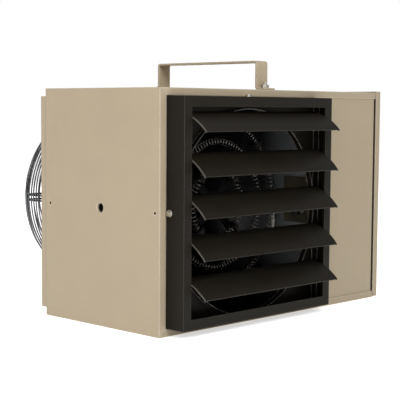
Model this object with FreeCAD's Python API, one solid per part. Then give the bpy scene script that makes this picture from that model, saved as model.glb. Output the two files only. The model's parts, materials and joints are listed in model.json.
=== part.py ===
"""Electric unit heater: a sheet-metal cabinet with an adjustable louver outlet in front, a wire-guarded
motor and fan behind, open wound heating coils between them and a control compartment on the right.

Millimetres. +X to the right, +Y to the back, +Z up. The origin is the centre of the cabinet's underside.
"""
import FreeCAD, Part
import math
import os

V = FreeCAD.Vector
X_AXIS = V(1, 0, 0)
Y_AXIS = V(0, 1, 0)
Z_AXIS = V(0, 0, 1)

# Cabinet of formed sheet
CABINET_W = 515.0
CABINET_D = 257.0
CABINET_H = 356.0
SHEET = 1.2
RAIL = 11.0                # front flange of the top and bottom panels
SIDE_RAIL = 13.0           # front flange of the left side panel
REAR_RAIL = 12.0           # rear flange of the top and bottom panels
END_RAIL = 16.0            # right-hand flange of the top and bottom panels
MITRE_GAP = 0.5            # open seam where two front flanges meet
SIDE_HOLE_R = 7.0          # formed mounting hole in the left side
SIDE_HOLE_DEPTH = 4.5
SIDE_LEAD_IN = 1.0
DIMPLE_HOLE_R = 2.0
DIMPLE_DEPTH = 0.6
DIMPLE_INSET = 10.0        # from the front and rear edges of the side

# Front panel, and the outlet pan with its round collar that the louver frame slips over
FRONT_PANEL_GAP = 3.0      # short of the cabinet's right end
FRONT_RETURN = 12.0
PAN_GAP = 0.3              # between the pan and the louver frame round it
PAN_FLANGE = 11.0          # in front of the rails
COLLAR_PROUD = 8.0         # in front of the rails
COLLAR_MARGIN = 9.5        # between the collar and the outside of the louver frame
COLLAR_DROP = 8.0          # collar below the louver frame's middle

# Louver frame
FRAME_CLEAR = 0.5          # above and below, between the rails
FRAME_SIDE_CLEAR = 1.5     # from the left rail
FRAME_PROUD = 34.5
FRAME_SHEET = 1.2
FRAME_FLANGE = 15.0
FRAME_LIP = 4.0            # hem turned back round the opening
FRAME_SCREW_SETBACK = 5.6  # screw line, in front of the cabinet front

# Louver blades
BLADE_CHORD = 55.0
BLADE_CURVE_R = 95.0
BLADE_SHEET = 1.2
BLADE_END_GAP = 0.75
BLADE_END_FLANGE = 2.2     # turned down at both ends
TOP_PIVOT_DROP = 31.0      # below the top of the louver frame
FOOT_PIVOT_RISE = 64.4     # above the bottom of the louver frame
BLADE_SLOPES = (30.0, 35.0, 34.0, 34.0, 29.0)   # set by hand, top blade first, degrees below level
PIVOT_SETBACK = 15.0       # behind the frame's front face
PIVOT_IN = 8.0             # along the chord from the blade's inner edge
PIVOT_DROP = 5.0           # below the chord
EAR_R = 6.0
PIN_R = 2.5
PIN_SHOULDER_R = 4.0
PIN_HEAD = 1.5
PIN_CLEAR = 0.08           # running fit of an ear on its pin
SIDE_PLAY = 0.3            # each side of an ear

# Rear panel, a shallow pan
REAR_PROUD = 13.5
REAR_NEST = 14.0           # left wall of the pan, inside the side panel
REAR_FLANGE = 11.5         # top and bottom lips of the pan, on the cabinet's rear flanges
REAR_SCREW_GAP = 0.5       # between a lip screw's washer and the pan's wall
ORIFICE_BEND = 7.0
ORIFICE_LIP = 14.0
CONDUIT_R = 14.2
CONDUIT_DROP = 120.0       # below the fan axis
CONDUIT_FROM_END = 60.0

# Fan
FAN_R = 124.0
TIP_GAP = 5.0
FAN_BLADES = 5
FAN_CHORD = 108.0
FAN_CAMBER_R = 150.0
FAN_PITCH = 22.0           # degrees
FAN_SHEET = 1.6
FAN_ROOT_R = 34.0
FAN_DISC_R = 44.0
FAN_SETBACK = 6.0          # fan plane in front of the rear panel's face
HUB_R = 15.0
HUB_FRONT = 14.0
SET_SCREW_R = 3.0
SHAFT_R = 6.35
SHAFT_CLEAR = 0.05         # running fit in the bearings

# Guard of welded wire and the motor plate that it carries
GUARD_MARGIN = 12.0        # guard radius over the orifice radius
GUARD_DEPTH = 98.0         # rear rings behind the rear panel's face
RING_R = 1.2
SIDE_RING_PITCH = 6.2
SIDE_RINGS = 6
NECK_RING_PITCH = 13.0
NECK_RINGS = 3
BACK_RING_PITCH = 12.0
BACK_RINGS = 6
RIB_R = 1.9
RIB_HALF_GAP = 4.3         # half the distance between the two wires of a leg
RIB_BEND = 6.0
RIB_LEGS = 3
FOOT_REACH = 11.0          # of a leg's loop, outside the guard
WELD = 0.4                 # how far crossed wires are melted into each other
PLATE_R = 50.0
PLATE_T = 2.5

# Motor
MOTOR_R = 42.0
MOTOR_WALL = 1.5
MOTOR_SHELL = 44.0
BELL_DEPTH = 14.0
BELL_NOSE_R = 17.0
BELL_NOSE = 7.0
BEARING_R = 11.0
BEARING_L = 16.0
STATOR_L = 34.0
STATOR_BORE = 23.0
AIR_GAP = 0.4
STUD_R = 2.0
STUD_CIRCLE = 35.0
STUD_TAIL = 9.0

# Heating element
COIL_SETBACK = 60.0        # coil plane behind the cabinet front
COIL_SHARES = {"inner": 0.35, "middle": 0.625, "outer": 0.84}   # ring's radius over the outlet collar's
COIL_R = 5.4               # to the middle of the wire
COIL_WIRE_R = 0.85
CURL_PITCH = 19.5
COIL_CLEAR = 0.6           # round the coil, in its insulators
TAIL = 4.0                 # straight end of a coil
TAIL_LEAD = 8.0            # from the straight end to the first curl
ARM_ANGLES = [45 + 90 * k for k in range(4)]
ARM_W = 14.0
ARM_T = 1.5
ARM_BEND = 3.0
ARM_REACH = 18.0           # arm's bend outside the outlet collar
ARM_FOOT = 16.0
SPIDER_HUB_R = 20.0
BLOCK_WALL = 1.8           # ceramic round a coil
BLOCK_L = 8.0
TERMINAL_H = 22.0
TERMINAL_W = 12.0
TERMINAL_BAR_H = 16.0
TERMINAL_FOOT = 20.0

# Partition and what it carries
PARTITION_GAP = 3.0        # right of the louver frame
PARTITION_FLANGE = 12.0
LIMIT_PLATE_INSET = 6.0    # behind the front panel
LIMIT_PLATE_D = 56.0
LIMIT_PLATE_H = 76.0
CUTOUT_R = 7.5
CUTOUT_H = 9.0
CUTOUT_EAR = 13.0          # cut-out's screws, each side of its centre

# Mounting bracket on top
STRAP_W = 25.4
STRAP_T = 3.0
STRAP_BEND = 2.0
BRACKET_H = 45.3
BRACKET_FRONT_LEG = 22.0   # behind the cabinet front
BRACKET_BACK_LEG = 16.0    # in front of the cabinet back
BRACKET_FOOT = 15.5
BRACKET_FROM_LEFT = 240.0
BRACKET_BOLT_R = 3.0
HANGER_HOLE_R = 5.25

# Control door, a pan over the right end, and its hinge
DOOR_GAP = 2.3
DOOR_DEPTH = 11.8
DOOR_OVER = 2.0            # above the cabinet top
DOOR_FOOT_CLEAR = 0.8      # above the cabinet's underside
HINGE_PIN_R = 1.5
HINGE_KNUCKLE_R = 3.0
HINGE_CLEAR = 0.06
HINGE_LEAF = 1.2
HINGE_LEAF_W = 9.5
HINGE_L = 300.0
HINGE_KNUCKLES = 5
HINGE_PLAY = 0.3
LATCH_INSET = 24.0
LATCH_DROP = 9.0

# Control components on the partition
CONTACTOR = (62.0, 84.0, 70.0)      # out of the partition, along Y, up
TRANSFORMER = (46.0, 58.0, 52.0)
RELAY = (36.0, 40.0, 48.0)
TERMINALS = (26.0, 90.0, 30.0)
GROUND_LUG = (14.0, 22.0, 10.0)
COMPONENT_FOOT = 3.0
COMPONENT_GAP = 22.0

# Fasteners
SCREW_R = 2.0
SCREW_HEAD_R = 4.2
SCREW_HEAD_H = 3.0
SCREW_FLANGE_R = 5.2
SCREW_FLANGE_T = 0.8
SCREW_CLEAR = 0.1
BOLT_HEAD_ACROSS = 10.0
BOLT_HEAD_H = 4.0
NUT_H = 5.0
BOLT_TAIL = 4.0

# Places that follow from the sizes
LEFT = -CABINET_W / 2
RIGHT = CABINET_W / 2
FRONT = -CABINET_D / 2
BACK = CABINET_D / 2
TOP = CABINET_H
PANEL_FACE = FRONT + SHEET                 # front face of the front panel, one sheet behind the rails
PANEL_BACK = PANEL_FACE + SHEET
FRAME_SIZE = CABINET_H - 2 * (RAIL + FRAME_CLEAR)
FRAME_FACE = FRONT - FRAME_PROUD
FRAME_OPENING = FRAME_SIZE - 2 * FRAME_FLANGE
AXIS_X = LEFT + SIDE_RAIL + FRAME_SIDE_CLEAR + FRAME_SIZE / 2
AXIS_Z = CABINET_H / 2
COLLAR_R = FRAME_SIZE / 2 - COLLAR_MARGIN
COLLAR_Z = AXIS_Z - COLLAR_DROP
COIL_RINGS = [(name, COLLAR_R * share) for name, share in COIL_SHARES.items()]
PARTITION_X = AXIS_X + FRAME_SIZE / 2 + PARTITION_GAP
PARTITION_RIGHT = PARTITION_X + SHEET
REAR_FACE = BACK + REAR_PROUD
ORIFICE_R = FAN_R + TIP_GAP
GUARD_R = ORIFICE_R + GUARD_MARGIN
FAN_Y = REAR_FACE - FAN_SETBACK
CROSSING = RING_R + RIB_R - WELD           # between the centres of two crossed guard wires
RIB_SIDE_R = GUARD_R - CROSSING
GUARD_REAR = REAR_FACE + GUARD_DEPTH
RIB_REAR = GUARD_REAR - CROSSING
PLATE_REAR = RIB_REAR - RIB_R + WELD
MOTOR_REAR = PLATE_REAR - PLATE_T
SHELL_REAR = MOTOR_REAR - BELL_DEPTH
SHELL_FRONT = SHELL_REAR - MOTOR_SHELL
BELL_FRONT = SHELL_FRONT - BELL_DEPTH
COIL_Y = FRONT + COIL_SETBACK
COIL_OUT_R = COIL_R + COIL_WIRE_R
BLOCK_R = COIL_OUT_R + COIL_CLEAR + BLOCK_WALL
ARM_FACE = COIL_Y + BLOCK_R                # front face of the arms, where the insulators sit
ARM_Y = ARM_FACE + ARM_T / 2
PIVOT_Y = FRAME_FACE + PIVOT_SETBACK
BRACKET_X = LEFT + BRACKET_FROM_LEFT
BRACKET_SPAN = CABINET_D - BRACKET_FRONT_LEG - BRACKET_BACK_LEG
BRACKET_Y = (BRACKET_FRONT_LEG - BRACKET_BACK_LEG) / 2
DOOR_IN = RIGHT + DOOR_GAP
DOOR_OUT = DOOR_IN + DOOR_DEPTH
DOOR_TOP = TOP + DOOR_OVER
HINGE_X = RIGHT + HINGE_KNUCKLE_R
HINGE_Y = BACK + HINGE_KNUCKLE_R


def unit(vector):
    """The vector at length 1."""
    return vector * (1.0 / vector.Length)


def box(x0, x1, y0, y1, z0, z1):
    """A block between two corners."""
    return Part.makeBox(x1 - x0, y1 - y0, z1 - z0, V(x0, y0, z0))


def rod(start, axis, radius, length):
    """A round bar."""
    return Part.makeCylinder(radius, length, start, axis)


def tube(start, axis, r_out, r_in, length):
    """A round tube."""
    return rod(start, axis, r_out, length).cut(rod(start, axis, r_in, length))


def prism(points, along):
    """A flat outline, swept straight."""
    return Part.Face(Part.makePolygon(points + points[:1])).extrude(along)


def join(shapes):
    """One solid from several that touch or overlap."""
    return shapes[0].fuse(shapes[1:]).removeSplitter()


def hexagon(centre, axis, across, height):
    """A hexagonal head or nut that stands on a point and rises along an axis."""
    corner_r = across / math.sqrt(3)
    points = [V(corner_r * math.cos(math.radians(60 * k)), corner_r * math.sin(math.radians(60 * k)), 0)
              for k in range(6)]
    head = prism(points, V(0, 0, height))
    head.Placement = FreeCAD.Placement(centre, FreeCAD.Rotation(Z_AXIS, axis))
    return head


def save(name, *solids):
    """Write one node."""
    shape = solids[0] if len(solids) == 1 else Part.makeCompound(list(solids))
    shape.exportStep("parts/" + name + ".step")


def rounded_run(points, radii):
    """Edges along an open run of points, each inner corner rounded by its radius."""
    edges = []
    start = points[0]
    for before, corner, after, radius in zip(points, points[1:], points[2:], radii):
        d1 = unit(corner - before)
        d2 = unit(after - corner)
        half = d1.getAngle(d2) / 2
        inward = unit(d2 - d1)
        first = corner - d1 * (radius * math.tan(half))
        last = corner + d2 * (radius * math.tan(half))
        middle = corner + inward * (radius / math.cos(half) - radius)
        edges.append(Part.LineSegment(start, first).toShape())
        edges.append(Part.Arc(first, middle, last).toShape())
        start = last
    edges.append(Part.LineSegment(start, points[-1]).toShape())
    return edges


def strip_face(points, normal, thickness, bend):
    """The edge-on outline of a bent strip: its middle line, its thickness and its inside bend radius."""
    steps = [unit(b - a) for a, b in zip(points, points[1:])]
    sides = [normal.cross(step) for step in steps]
    outlines = []
    for sign in (1, -1):
        offset = [points[0] + sides[0] * (sign * thickness / 2)]
        radii = []
        for k in range(1, len(points) - 1):
            share = sides[k - 1] + sides[k]
            offset.append(points[k] + share * (sign * thickness / 2 / (1 + sides[k - 1].dot(sides[k]))))
            turn = steps[k - 1].cross(steps[k]).dot(normal)
            radii.append(bend if turn * sign > 0 else bend + thickness)
        offset.append(points[-1] + sides[-1] * (sign * thickness / 2))
        outlines.append((offset, radii))
    (left, left_radii), (right, right_radii) = outlines
    edges = rounded_run(left, left_radii)
    edges.append(Part.LineSegment(left[-1], right[-1]).toShape())
    edges += rounded_run(right[::-1], right_radii[::-1])
    edges.append(Part.LineSegment(right[0], left[0]).toShape())
    return Part.Face(Part.Wire(Part.__sortEdges__(edges)))


def bent_strip(points, normal, thickness, bend, width):
    """A bent strip, centred on its middle line across its width."""
    face = strip_face(points, normal, thickness, bend)
    face.translate(normal * (-width / 2))
    return face.extrude(normal * width)


def tube_along(edges, radius):
    """A round wire along a run of tangent edges."""
    path = Part.Wire(edges)
    first = edges[0]
    start = first.valueAt(first.FirstParameter)
    section = Part.Wire(Part.makeCircle(radius, start, first.tangentAt(first.FirstParameter)))
    return path.makePipeShell([section], True, False)


def polar(radius, degrees, y):
    """A point about the fan and outlet axis; 0 degrees is to the right, 90 is up."""
    angle = math.radians(degrees)
    return V(AXIS_X + radius * math.cos(angle), y, AXIS_Z + radius * math.sin(angle))


def on_axis(y):
    """A point on the fan and outlet axis."""
    return V(AXIS_X, y, AXIS_Z)


def about_axis(shape, degrees):
    """A copy of a shape, turned about the fan and outlet axis from the right towards the top."""
    turned = shape.copy()
    turned.rotate(V(AXIS_X, 0, AXIS_Z), V(0, -1, 0), degrees)
    return turned


def hex_screw(seat, inward, length):
    """A hexagonal washer-head screw whose head sits on a seat and whose shank runs inward."""
    washer = rod(seat, inward * -1, SCREW_FLANGE_R, SCREW_FLANGE_T)
    head = hexagon(seat - inward * SCREW_FLANGE_T, inward * -1, SCREW_HEAD_R * math.sqrt(3), SCREW_HEAD_H)
    return join([rod(seat, inward, SCREW_R, length), washer, head])


def screw_hole(seat, inward, length):
    """What a screw's shank takes out of the sheets that it holds."""
    return rod(seat - inward * length, inward, SCREW_R + SCREW_CLEAR, 2 * length)


# Left side panel, with its mitred front flange and its formed holes
def left_side_panel():
    plate = box(LEFT, LEFT + SHEET, FRONT, BACK, 0, TOP)
    flange = prism([V(LEFT, FRONT, 0), V(LEFT + SIDE_RAIL, FRONT, RAIL),
                    V(LEFT + SIDE_RAIL, FRONT, TOP - RAIL), V(LEFT, FRONT, TOP)], V(0, SHEET, 0))
    collar = rod(V(LEFT, 0, AXIS_Z), X_AXIS, SIDE_HOLE_R + SHEET, SIDE_HOLE_DEPTH)
    panel = join([plate, flange, collar])
    hole = rod(V(LEFT, 0, AXIS_Z), X_AXIS, SIDE_HOLE_R, SIDE_HOLE_DEPTH)
    lead_in = Part.makeCone(SIDE_HOLE_R + SIDE_LEAD_IN, SIDE_HOLE_R, SIDE_LEAD_IN, V(LEFT, 0, AXIS_Z), X_AXIS)
    cuts = [hole, lead_in]
    for y in (FRONT + DIMPLE_INSET, BACK - DIMPLE_INSET):
        spot = V(LEFT, y, AXIS_Z)
        cuts.append(rod(spot, X_AXIS, DIMPLE_HOLE_R, REAR_NEST))
        cuts.append(Part.makeCone(DIMPLE_HOLE_R + DIMPLE_DEPTH, DIMPLE_HOLE_R, DIMPLE_DEPTH, spot, X_AXIS))
    return panel.cut(cuts)


# Top and bottom panels: the same pan, one turned over
def bracket_bolt_places():
    reach = BRACKET_SPAN / 2 + STRAP_T / 2 + STRAP_BEND + BOLT_HEAD_ACROSS / 2
    return [V(BRACKET_X, BRACKET_Y - reach, 0), V(BRACKET_X, BRACKET_Y + reach, 0)]


def level_panel(z_out, inward):
    z_in = z_out + inward * SHEET
    x0 = LEFT + SHEET
    plate = box(x0, RIGHT, FRONT, BACK, min(z_out, z_in), max(z_out, z_in))
    mitre_slope = RAIL / SIDE_RAIL
    front = prism([V(x0, FRONT, z_out), V(RIGHT, FRONT, z_out), V(RIGHT, FRONT, z_out + inward * RAIL),
                   V(LEFT + SIDE_RAIL + MITRE_GAP, FRONT, z_out + inward * RAIL),
                   V(x0, FRONT, z_out + inward * (SHEET - MITRE_GAP) * mitre_slope)], V(0, SHEET, 0))
    rear_z = z_out + inward * REAR_RAIL
    rear = box(x0, RIGHT, BACK - SHEET, BACK, min(z_out, rear_z), max(z_out, rear_z))
    end_z = z_out + inward * END_RAIL
    end = box(RIGHT - SHEET, RIGHT, PANEL_BACK + FRONT_RETURN, BACK, min(z_out, end_z), max(z_out, end_z))
    screws = [screw_hole(seat, along, 3 * SHEET) for seat, along in rear_screw_seats()]
    return join([plate, front, rear, end]).cut(screws)


def top_panel():
    bolts = [rod(V(p.x, p.y, TOP - SHEET), Z_AXIS, BRACKET_BOLT_R + SCREW_CLEAR, SHEET)
             for p in bracket_bolt_places()]
    return level_panel(TOP, -1).cut(bolts)


# Front panel and the outlet pan on it
def frame_screw_seats():
    half = FRAME_SIZE / 2
    y = FRONT - FRAME_SCREW_SETBACK
    return [(polar(half, angle, y), polar(-1, angle, 0) - polar(0, angle, 0)) for angle in (0, 90, 180, 270)]


def spider_foot_places():
    radius = COLLAR_R + ARM_REACH + ARM_T / 2 + ARM_BEND + (ARM_FOOT - ARM_BEND) / 2
    return [polar(radius, angle, PANEL_BACK + ARM_T) for angle in ARM_ANGLES]


def outlet(radius, y0, y1):
    """A plug on the outlet's own axis."""
    return rod(V(AXIS_X, y0, COLLAR_Z), Y_AXIS, radius, y1 - y0)


def front_panel():
    right = RIGHT - FRONT_PANEL_GAP
    sheet = box(LEFT + SHEET, right, PANEL_FACE, PANEL_BACK, SHEET, TOP - SHEET)
    fold = box(right - SHEET, right, PANEL_BACK, PANEL_BACK + FRONT_RETURN, SHEET + RAIL, TOP - SHEET - RAIL)
    feet = [screw_hole(place, V(0, -1, 0), ARM_T + SHEET) for place in spider_foot_places()]
    return join([sheet, fold]).cut([outlet(COLLAR_R - SHEET, PANEL_FACE, PANEL_BACK)] + feet)


def framed_block(half, y0, y1):
    """A square block centred on the louver frame."""
    return box(AXIS_X - half, AXIS_X + half, y0, y1, AXIS_Z - half, AXIS_Z + half)


def outlet_pan():
    half = FRAME_SIZE / 2 - FRAME_SHEET - PAN_GAP
    floor = PANEL_FACE - SHEET
    tray = framed_block(half, FRONT - PAN_FLANGE, PANEL_FACE).cut(
        framed_block(half - SHEET, FRONT - PAN_FLANGE, floor))
    pan = join([tray, outlet(COLLAR_R, FRONT - COLLAR_PROUD, PANEL_FACE)])
    reach = FRAME_SHEET + PAN_GAP + 2 * SHEET
    screws = [screw_hole(seat, inward, reach) for seat, inward in frame_screw_seats()]
    tips = [screw_hole(place, V(0, -1, 0), ARM_T + 2 * SHEET) for place in spider_foot_places()]
    return pan.cut([outlet(COLLAR_R - SHEET, FRONT - COLLAR_PROUD, PANEL_FACE)] + screws + tips)


# Louver frame, its studs and its screws
def pivot_heights():
    first = AXIS_Z + FRAME_SIZE / 2 - TOP_PIVOT_DROP
    count = len(BLADE_SLOPES)
    pitch = (FRAME_SIZE - TOP_PIVOT_DROP - FOOT_PIVOT_RISE) / (count - 1)
    return [first - pitch * k for k in range(count)]


def louver_frame():
    half = FRAME_SIZE / 2
    hole = FRAME_OPENING / 2
    wall = half - FRAME_SHEET

    back = PANEL_FACE
    shell = framed_block(half, FRAME_FACE, back).cut(framed_block(wall, FRAME_FACE + FRAME_SHEET, back))
    lip = framed_block(hole + FRAME_SHEET, FRAME_FACE, FRAME_FACE + FRAME_LIP)
    frame = join([shell, lip]).cut(framed_block(hole, FRAME_FACE, FRAME_FACE + FRAME_LIP))
    return frame.cut([screw_hole(seat, inward, 2 * FRAME_SHEET) for seat, inward in frame_screw_seats()])


def pivot_pin(z, side):
    """A shoulder stud, welded inside one wall of the frame, that a blade's ear turns on."""
    inward = V(-side, 0, 0)
    wall = FRAME_SIZE / 2 - FRAME_SHEET
    ear_out = FRAME_OPENING / 2 - BLADE_END_GAP
    shoulder = wall - ear_out - SIDE_PLAY
    neck = SIDE_PLAY + BLADE_SHEET + SIDE_PLAY
    start = V(AXIS_X + side * wall, PIVOT_Y, z)
    at_neck = start + inward * shoulder
    at_head = at_neck + inward * neck
    return join([rod(start, inward, PIN_SHOULDER_R, shoulder), rod(at_neck, inward, PIN_R, neck),
                 rod(at_head, inward, PIN_SHOULDER_R, PIN_HEAD)])


def louver_blade(z, slope):
    """A curved blade with an ear folded down at each end, hung on its two studs."""
    angle = math.radians(slope)
    outward = V(0, -math.cos(angle), -math.sin(angle))
    upward = V(0, -math.sin(angle), math.cos(angle))
    length = FRAME_OPENING - 2 * BLADE_END_GAP
    x0 = AXIS_X - length / 2
    pivot = V(x0, PIVOT_Y, z)
    rise = BLADE_CURVE_R - math.sqrt(BLADE_CURVE_R ** 2 - (BLADE_CHORD / 2) ** 2)

    def at(along, height):
        return pivot + outward * (along - PIVOT_IN) + upward * (height + PIVOT_DROP)

    def arc(height):
        ends = at(0, height), at(BLADE_CHORD, height)
        return ends, Part.Arc(ends[0], at(BLADE_CHORD / 2, height + rise), ends[1]).toShape()

    def band(upper, lower, along):
        (top_in, top_out), top = arc(upper)
        (low_in, low_out), low = arc(lower)
        sides = [Part.LineSegment(top_out, low_out).toShape(), Part.LineSegment(low_in, top_in).toShape()]
        return Part.Face(Part.Wire(Part.__sortEdges__([top, low] + sides))).extrude(X_AXIS * along)

    sheet = band(BLADE_SHEET / 2, -BLADE_SHEET / 2, length)
    ears = []
    holes = []
    web_end = 2 * PIVOT_IN
    web_rise = math.sqrt(BLADE_CURVE_R ** 2 - (BLADE_CHORD / 2 - web_end) ** 2) - BLADE_CURVE_R + rise
    for shift in (0, length - BLADE_SHEET):
        web = prism([at(0, 0), at(web_end, web_rise), pivot + outward * EAR_R, pivot - outward * EAR_R],
                    X_AXIS * BLADE_SHEET)
        disc = rod(pivot, X_AXIS, EAR_R, BLADE_SHEET)
        flange = band(0, -BLADE_END_FLANGE, BLADE_SHEET)
        ear = join([web, disc, flange])
        ear.translate(X_AXIS * shift)
        ears.append(ear)
        holes.append(rod(pivot + X_AXIS * shift, X_AXIS, PIN_R + PIN_CLEAR, BLADE_SHEET))
    return join([sheet] + ears).cut(holes)


# Rear panel: a pan with a rolled fan orifice
def rear_panel():
    low = REAR_RAIL
    high = TOP - REAR_RAIL
    x0 = LEFT + SHEET
    face = box(x0, RIGHT, REAR_FACE - SHEET, REAR_FACE, low, high)
    walls = [box(x0, RIGHT, BACK, REAR_FACE, low, low + SHEET),
             box(x0, RIGHT, BACK, REAR_FACE, high - SHEET, high),
             box(x0, x0 + SHEET, BACK - REAR_NEST, REAR_FACE, low + SHEET, high - SHEET),
             box(RIGHT - SHEET, RIGHT, BACK, REAR_FACE, low, high),
             box(x0, RIGHT, BACK, BACK + SHEET, low - REAR_FLANGE, low),
             box(x0, RIGHT, BACK, BACK + SHEET, high, high + REAR_FLANGE)]
    mouth_r = ORIFICE_R + SHEET + ORIFICE_BEND
    middle_y = REAR_FACE - SHEET / 2
    throat_x = AXIS_X + ORIFICE_R + SHEET / 2
    line = [V(AXIS_X + mouth_r + SHEET, middle_y, AXIS_Z), V(throat_x, middle_y, AXIS_Z),
            V(throat_x, REAR_FACE - ORIFICE_LIP, AXIS_Z)]
    lip = strip_face(line, Z_AXIS, SHEET, ORIFICE_BEND).revolve(V(AXIS_X, 0, AXIS_Z), Y_AXIS, 360)
    opening = rod(V(AXIS_X, BACK, AXIS_Z), Y_AXIS, mouth_r, 2 * REAR_PROUD)
    pan = join([join([face] + walls).cut(opening), lip])
    rivet = rod(V(LEFT, BACK - DIMPLE_INSET, AXIS_Z), X_AXIS, DIMPLE_HOLE_R, REAR_NEST)
    conduit = rod(V(RIGHT - CONDUIT_FROM_END, BACK, AXIS_Z - CONDUIT_DROP), Y_AXIS, CONDUIT_R, 2 * REAR_PROUD)
    feet = [screw_hole(place, V(0, -1, 0), 2 * SHEET) for place in guard_foot_places()]
    lips = [screw_hole(seat, inward, 3 * SHEET) for seat, inward in rear_screw_seats()]
    return pan.cut([rivet, conduit] + feet + lips)


def rear_screw_seats():
    """Screws through the pan's lips into the cabinet's rear flanges."""
    seats = []
    inset = REAR_RAIL - SCREW_FLANGE_R - REAR_SCREW_GAP
    for z in (inset, TOP - inset):
        for x in (LEFT + CABINET_W / 6, RIGHT - CABINET_W / 6):
            seats.append((V(x, BACK + SHEET, z), V(0, -1, 0)))
    return seats


# Wire guard and motor plate
def rib_angles():
    return [180 + 360 * k / RIB_LEGS for k in range(RIB_LEGS)]


def guard_foot_places():
    return [polar(GUARD_R + FOOT_REACH, angle, REAR_FACE) for angle in rib_angles()]


def guard_side_rings():
    """Rings round the outside of the legs, with one over their bend."""
    bend_y = RIB_REAR - RIB_BEND
    over_bend = (RIB_BEND + CROSSING) / math.sqrt(2)
    centres = [(RIB_SIDE_R - RIB_BEND + over_bend, bend_y + over_bend)]
    centres += [(GUARD_R, bend_y - k * SIDE_RING_PITCH) for k in range(SIDE_RINGS)]
    neck_start = centres[-1][1]
    centres += [(GUARD_R, neck_start - (k + 1) * NECK_RING_PITCH) for k in range(NECK_RINGS)]
    return [Part.makeTorus(radius, RING_R, on_axis(y), Y_AXIS) for radius, y in centres]


def guard_back_rings():
    """Rings across the back, behind the legs."""
    radii = [RIB_SIDE_R - RIB_BEND - k * BACK_RING_PITCH for k in range(BACK_RINGS)]
    return [Part.makeTorus(radius, RING_R, on_axis(GUARD_REAR), Y_AXIS) for radius in radii]


def guard_leg(angle):
    """One double wire: from the motor plate, out, forward to the rear panel, round its foot and back."""
    foot_y = REAR_FACE + RIB_R
    foot_r = GUARD_R + FOOT_REACH
    turn_r = RIB_HALF_GAP

    def at(radius, side, y):
        return V(AXIS_X + radius, y, AXIS_Z + side * RIB_HALF_GAP)

    def half(side):
        return [at(PLATE_R / 2, side, RIB_REAR), at(RIB_SIDE_R, side, RIB_REAR),
                at(RIB_SIDE_R, side, foot_y), at(foot_r, side, foot_y)]

    out = rounded_run(half(1), (RIB_BEND, RIB_BEND))
    home = rounded_run(half(-1)[::-1], (RIB_BEND, RIB_BEND))
    loop = Part.Arc(at(foot_r, 1, foot_y), at(foot_r + turn_r, 0, foot_y), at(foot_r, -1, foot_y)).toShape()
    return about_axis(tube_along(out + [loop] + home, RIB_R), angle)


def motor_stud_places():
    between_legs = 180 / RIB_LEGS
    return [polar(STUD_CIRCLE, angle + between_legs, MOTOR_REAR) for angle in rib_angles()]


def motor_plate():
    plate = rod(V(AXIS_X, MOTOR_REAR, AXIS_Z), Y_AXIS, PLATE_R, PLATE_T)
    holes = [rod(place, Y_AXIS, STUD_R + SCREW_CLEAR, PLATE_T) for place in motor_stud_places()]
    return plate.cut(holes)


# Motor
def revolved(profile):
    """A turned part from its (radius, y) corners."""
    points = [V(AXIS_X + radius, y, AXIS_Z) for radius, y in profile]
    face = Part.Face(Part.makePolygon(points + points[:1]))
    return face.revolve(on_axis(0), Y_AXIS, 360)


def motor_shell():
    return tube(on_axis(SHELL_FRONT), Y_AXIS, MOTOR_R, MOTOR_R - MOTOR_WALL, MOTOR_SHELL)


def end_bell(seat, outward):
    """A domed end shield that closes the shell at its seat and holds a bearing in its nose."""
    wall = 2 * MOTOR_WALL
    nose = outward * BELL_NOSE if outward < 0 else 0
    end = seat + outward * BELL_DEPTH
    shoulder = seat + outward * BELL_DEPTH / 2
    bell = revolved([(BEARING_R, end - outward * wall), (MOTOR_R - 2 * wall, end - outward * wall),
                     (MOTOR_R - wall, shoulder), (MOTOR_R - wall, seat), (MOTOR_R, seat), (MOTOR_R, shoulder),
                     (MOTOR_R - BELL_DEPTH / 2, end), (BELL_NOSE_R, end),
                     (BELL_NOSE_R - MOTOR_WALL, end + nose), (BEARING_R, end + nose)])
    bearing_seat = seat + outward * (BELL_DEPTH - BEARING_L)
    housing = tube(on_axis(min(bearing_seat, end)), Y_AXIS, BELL_NOSE_R, BEARING_R, BEARING_L)
    studs = [rod(V(p.x, min(seat, end), p.z), Y_AXIS, STUD_R, BELL_DEPTH) for p in motor_stud_places()]
    return join([bell, housing]).cut(studs)


def bearing(end, outward):
    """A plain sleeve bearing, flush with the flat of its end shield."""
    start = min(end, end - outward * BEARING_L)
    return tube(on_axis(start), Y_AXIS, BEARING_R, SHAFT_R + SHAFT_CLEAR, BEARING_L)


def motor_studs():
    length = BELL_DEPTH + PLATE_T + STUD_TAIL
    return [rod(V(p.x, SHELL_REAR, p.z), Y_AXIS, STUD_R, length) for p in motor_stud_places()]


def motor_nuts():
    nuts = []
    for place in motor_stud_places():
        seat = V(place.x, PLATE_REAR, place.z)
        nut = hexagon(seat, Y_AXIS, 4 * STUD_R, 2 * STUD_R)
        nuts.append(nut.cut(rod(seat, Y_AXIS, STUD_R, 2 * STUD_R)))
    return nuts


def motor_stator():
    middle = (SHELL_FRONT + SHELL_REAR) / 2
    return tube(on_axis(middle - STATOR_L / 2), Y_AXIS, MOTOR_R - MOTOR_WALL, STATOR_BORE, STATOR_L)


def motor_rotor():
    middle = (SHELL_FRONT + SHELL_REAR) / 2
    return tube(on_axis(middle - STATOR_L / 2), Y_AXIS, STATOR_BORE - AIR_GAP, SHAFT_R, STATOR_L)


# Fan
def motor_shaft():
    start = FAN_Y - HUB_FRONT
    return rod(on_axis(start), Y_AXIS, SHAFT_R, MOTOR_REAR - 2 * MOTOR_WALL - start)


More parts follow.
